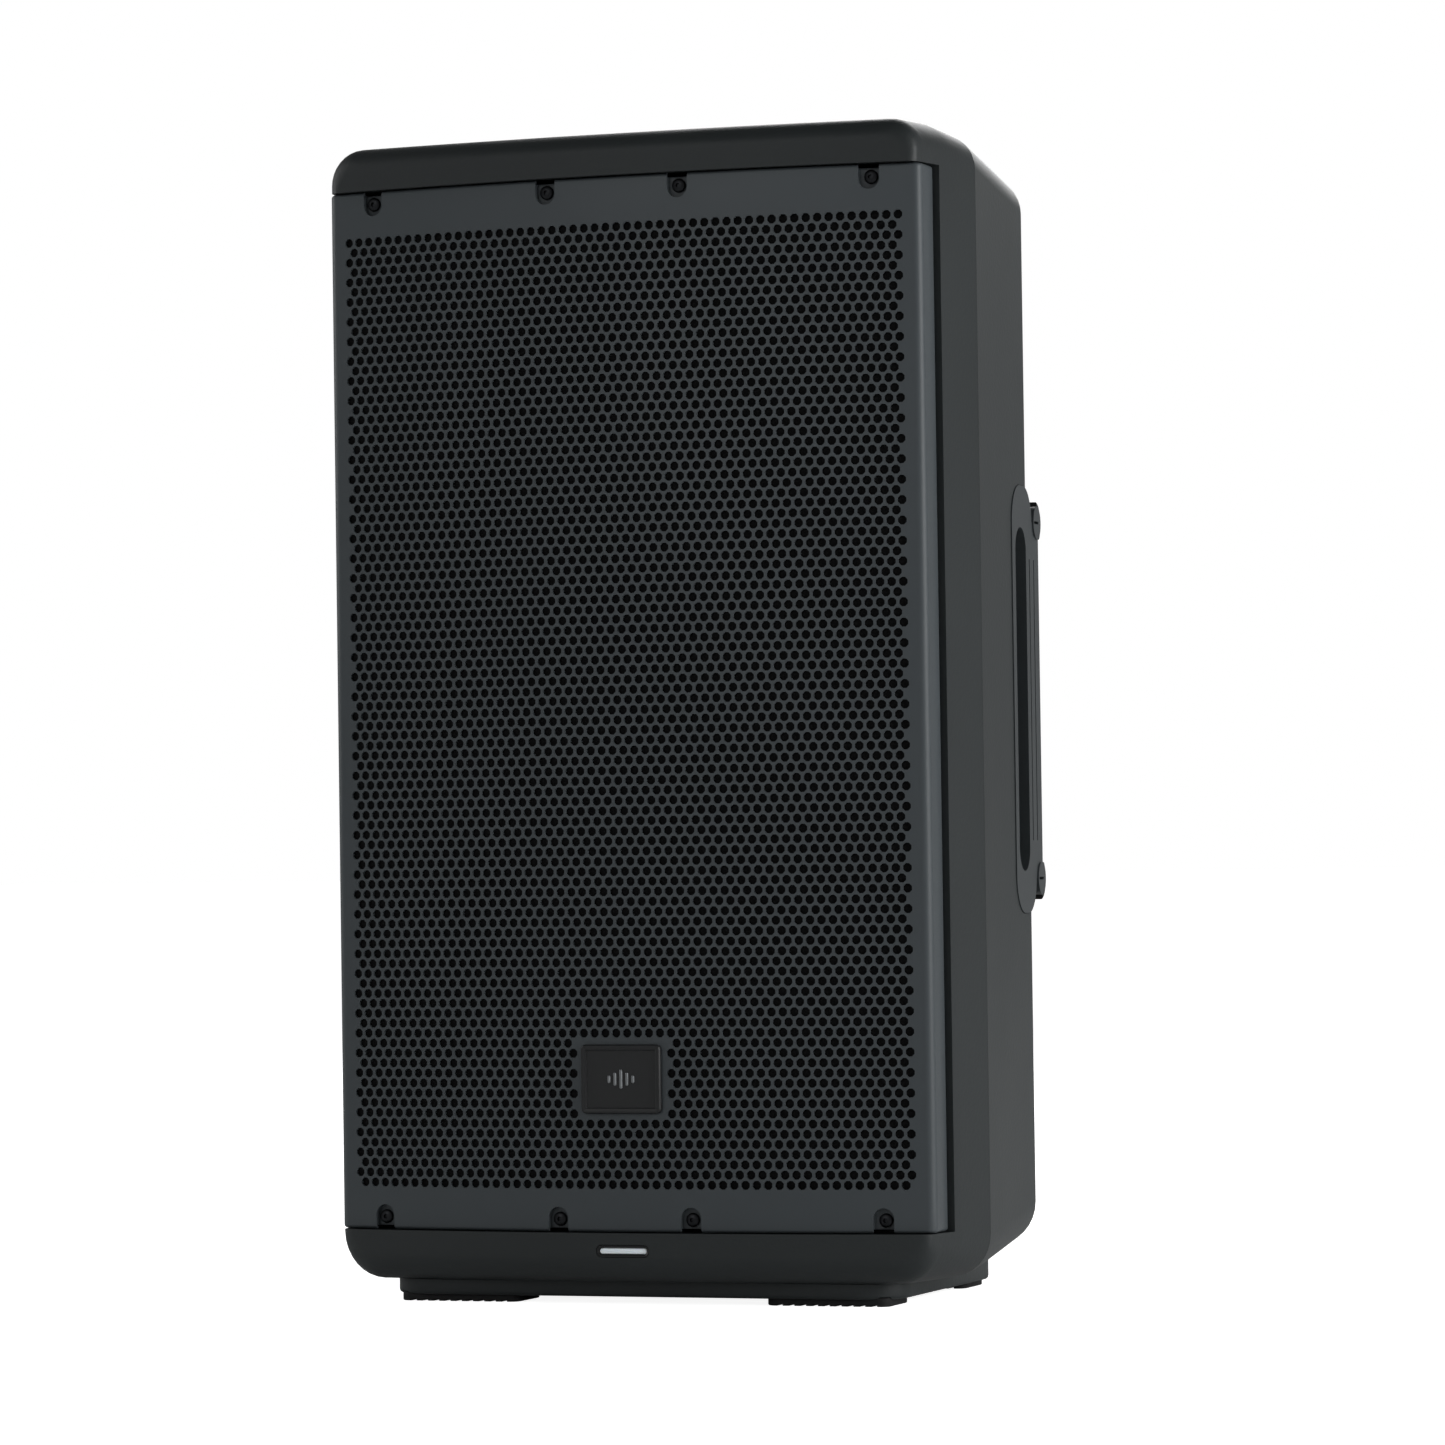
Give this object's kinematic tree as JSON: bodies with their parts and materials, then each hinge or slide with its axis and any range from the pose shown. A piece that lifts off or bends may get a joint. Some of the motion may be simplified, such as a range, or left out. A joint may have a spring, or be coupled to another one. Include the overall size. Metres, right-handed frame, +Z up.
{
  "type": "pa speaker",
  "caption": "Powered two-way PA loudspeaker with a moulded cabinet, perforated bowed grille, woofer, horn, rear amplifier panel, side handles, ribbed feet and a pole socket.",
  "frame": {"origin": "bottom centre of the object's box, on the surface the feet stand on", "axes": "+X right seen from the front, -Y the front with the grille, +Z up"},
  "size_m": [0.381, 0.316, 0.663],
  "materials": {
    "cabinet_plastic": "fine-textured black polypropylene",
    "handle_plastic": "fine-textured dark grey glass-filled nylon",
    "grille_steel": "black powder-coated perforated steel",
    "acoustic_foam": "black open-cell foam",
    "badge_plastic": "satin black moulding",
    "light_lens": "clear light guide, unlit",
    "cast_metal": "black painted casting",
    "plated_steel": "zinc plated",
    "ferrite": "dark ceramic and wound parts",
    "coil_copper": "enamelled copper winding",
    "cone_paper": "black pressed pulp",
    "spider_cloth": "resin-treated woven cloth",
    "surround_rubber": "treated black roll",
    "moulded_black": "moulded black",
    "titanium_foil": "formed foil",
    "panel_paint": "black textured paint",
    "black_anodised": "black anodised extrusion",
    "circuit_board": "green solder mask",
    "jack_nickel": "satin nickel",
    "control_knob": "soft black moulding",
    "black_screw": "black oxide",
    "foot_rubber": "moulded rubber"
  },
  "bodies": {
    "cabinet": {"front_shell": "cabinet_plastic", "rear_shell": "cabinet_plastic", "base_plate": "cabinet_plastic", "grille": "grille_steel", "grille_foam": "acoustic_foam", "badge_plate": "badge_plastic", "power_light": "light_lens", "pole_socket": "cast_metal", "woofer_basket": "cast_metal", "compression_driver": "cast_metal", "woofer_top_plate": "plated_steel", "woofer_yoke": "plated_steel", "woofer_magnet": "ferrite", "horn": "moulded_black", "port_tube_left": "moulded_black", "port_tube_right": "moulded_black", "amp_panel": "panel_paint", "heat_sink": "black_anodised", "amp_board": "circuit_board", "power_supply": "ferrite", "mains_inlet": "moulded_black", "output_jack": "jack_nickel", "handle_left": "handle_plastic", "handle_right": "handle_plastic", "combo_jack_1": "moulded_black", "combo_jack_2": "moulded_black", "woofer_bolt_1": "black_screw", "grille_screw_top_1": "black_screw", "grille_screw_bottom_1": "black_screw", "woofer_bolt_2": "black_screw", "grille_screw_top_2": "black_screw", "grille_screw_bottom_2": "black_screw", "woofer_bolt_3": "black_screw", "grille_screw_top_3": "black_screw", "grille_screw_bottom_3": "black_screw", "woofer_bolt_4": "black_screw", "grille_screw_top_4": "black_screw", "grille_screw_bottom_4": "black_screw", "foot_front_left": "foot_rubber", "foot_front_right": "foot_rubber", "foot_rear_left": "foot_rubber", "foot_rear_right": "foot_rubber", "handle_bumper_left_bottom": "foot_rubber", "handle_bumper_left_top": "foot_rubber", "handle_bumper_right_bottom": "foot_rubber", "handle_bumper_right_top": "foot_rubber"},
    "woofer_moving_parts": {"cone": "cone_paper", "voice_coil": "coil_copper", "dust_cap": "cone_paper", "surround": "surround_rubber", "spider": "spider_cloth"},
    "driver_diaphragm": {"driver_diaphragm": "titanium_foil"},
    "power_rocker": {"power_rocker": "moulded_black"},
    "master_knob": {"master_knob": "control_knob"},
    "gain_knob_1": {"gain_knob_1": "control_knob"},
    "mic_line_button_1": {"mic_line_button_1": "control_knob"},
    "combo_latch_1": {"combo_latch_1": "moulded_black"},
    "gain_knob_2": {"gain_knob_2": "control_knob"},
    "mic_line_button_2": {"mic_line_button_2": "control_knob"},
    "combo_latch_2": {"combo_latch_2": "moulded_black"}
  },
  "joints": [
    {"name": "woofer_excursion", "type": "slide", "parent": "cabinet", "child": "woofer_moving_parts", "axis": [0, -1, 0], "range_m": [-0.006, 0.006], "stiffness_N_per_m": 2500, "deforming": ["surround", "spider"]},
    {"name": "diaphragm_excursion", "type": "slide", "parent": "cabinet", "child": "driver_diaphragm", "axis": [0, -1, 0], "range_m": [-0.0003, 0.0003], "stiffness_N_per_m": 1500},
    {"name": "master_turn", "type": "hinge", "parent": "cabinet", "child": "master_knob", "pos_m": [0.05, 0.139, 0.24], "axis": [0, 1, 0], "range_deg": [-150, 150]},
    {"name": "power_rock", "type": "hinge", "parent": "cabinet", "child": "power_rocker", "pos_m": [0.04, 0.1375, 0.155], "axis": [1, 0, 0], "range_deg": [0, 14]},
    {"name": "gain_1_turn", "type": "hinge", "parent": "cabinet", "child": "gain_knob_1", "pos_m": [-0.05, 0.139, 0.24], "axis": [0, 1, 0], "range_deg": [-150, 150]},
    {"name": "mic_line_1_push", "type": "slide", "parent": "cabinet", "child": "mic_line_button_1", "axis": [0, -1, 0], "range_m": [0, 0.0025], "stiffness_N_per_m": 200},
    {"name": "latch_1_push", "type": "slide", "parent": "cabinet", "child": "combo_latch_1", "axis": [0, -1, 0], "range_m": [0, 0.0018], "stiffness_N_per_m": 200},
    {"name": "gain_2_turn", "type": "hinge", "parent": "cabinet", "child": "gain_knob_2", "pos_m": [0, 0.139, 0.24], "axis": [0, 1, 0], "range_deg": [-150, 150]},
    {"name": "mic_line_2_push", "type": "slide", "parent": "cabinet", "child": "mic_line_button_2", "axis": [0, -1, 0], "range_m": [0, 0.0025], "stiffness_N_per_m": 200},
    {"name": "latch_2_push", "type": "slide", "parent": "cabinet", "child": "combo_latch_2", "axis": [0, -1, 0], "range_m": [0, 0.0018], "stiffness_N_per_m": 200}
  ]
}
